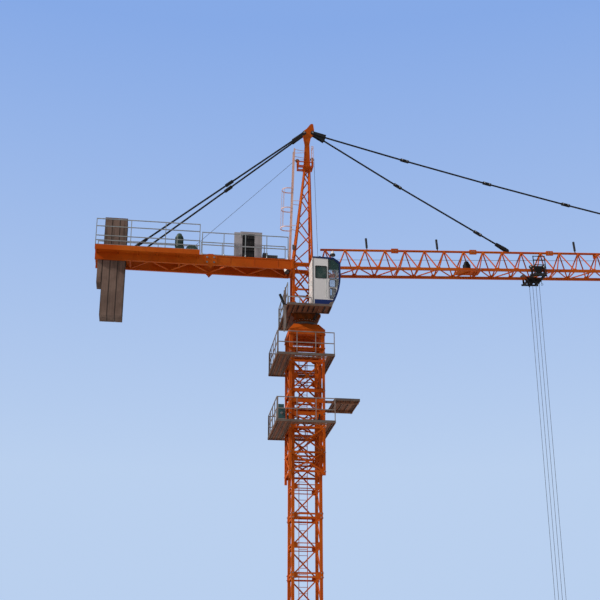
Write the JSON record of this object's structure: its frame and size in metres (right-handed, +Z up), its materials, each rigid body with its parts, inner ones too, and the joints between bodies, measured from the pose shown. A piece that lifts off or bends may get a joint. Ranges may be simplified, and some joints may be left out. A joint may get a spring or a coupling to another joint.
{
  "type": "1:2 scale model of a tower crane",
  "caption": "Half-size tower crane: lattice mast with climbing frame, slewing head with cab, tied lattice jib with trolley and hook, and a counter-jib with concrete slabs.",
  "frame": {"origin": "centre of the flat underside of the crossed base beams", "axes": "+X along the jib, away from the counterweights; +Z up, along the mast"},
  "size_m": [26.4464, 1.9, 16.7103],
  "materials": {
    "crane_paint": "weathered satin",
    "deck_planks": "rough",
    "galvanised": "dull galvanised",
    "black_steel": "satin",
    "ladder_primer": "matte",
    "hydraulic_paint": "satin",
    "motor_grey": "satin",
    "cab_white": "gloss",
    "cab_glass": "polished",
    "seat_vinyl": "satin",
    "winch_green": "satin",
    "cabinet_grey": "satin",
    "concrete": "rough",
    "trolley_black": "satin",
    "wheel_steel": "worn",
    "block_orange": "satin"
  },
  "bodies": {
    "tower": {"base_frame": "crane_paint", "mast_front": "crane_paint", "mast_back": "crane_paint", "mast_sides": "crane_paint", "mast_ladder": "crane_paint", "cage_front": "crane_paint", "cage_back": "crane_paint", "cage_sides": "crane_paint", "upper_deck": "deck_planks", "lower_deck": "deck_planks", "deck_rails": "galvanised", "feed_platform": "deck_planks", "hydraulic_unit": "hydraulic_paint", "slewing_support": "crane_paint"},
    "upper": {"turntable": "crane_paint", "slewing_motor": "motor_grey", "cab_platform": "deck_planks", "cab_platform_rails": "galvanised", "access_ladder": "galvanised", "head_lower": "crane_paint", "head_taper": "crane_paint", "head_cap": "crane_paint", "head_ladder": "ladder_primer", "head_guard": "crane_paint", "cab_shell": "cab_white", "cab_glass": "cab_glass", "cab_seat": "seat_vinyl", "jib_section_1": "crane_paint", "jib_section_2": "crane_paint", "jib_section_3": "crane_paint", "jib_section_4": "crane_paint", "jib_section_5": "crane_paint", "jib_section_6": "crane_paint", "jib_section_7": "crane_paint", "jib_section_8": "crane_paint", "jib_section_9": "crane_paint", "jib_tip": "crane_paint", "jib_ties": "black_steel", "counter_ties": "black_steel", "lamps": "black_steel", "trolley_winch": "motor_grey", "hoist_ropes": "black_steel", "counter_beams": "crane_paint", "counter_bracing": "crane_paint", "counter_walkways": "crane_paint", "counter_rails": "galvanised", "sign_frame": "galvanised", "hoist_winch": "winch_green", "control_cabinet": "cabinet_grey", "counterweights": "concrete"},
    "trolley": {"trolley_frame": "trolley_black", "trolley_wheels": "wheel_steel", "rope_falls": "black_steel", "hook_block": "block_orange", "hook": "black_steel"}
  },
  "joints": [
    {"name": "slewing", "type": "hinge", "parent": "tower", "child": "upper", "pos_m": [0, 0, 10.75], "axis": [0, 0, 1], "continuous": true},
    {"name": "trolley_travel", "type": "slide", "parent": "upper", "child": "trolley", "axis": [0.999, 0, 0.0454], "range_m": [-4.5, 13.95]}
  ]
}
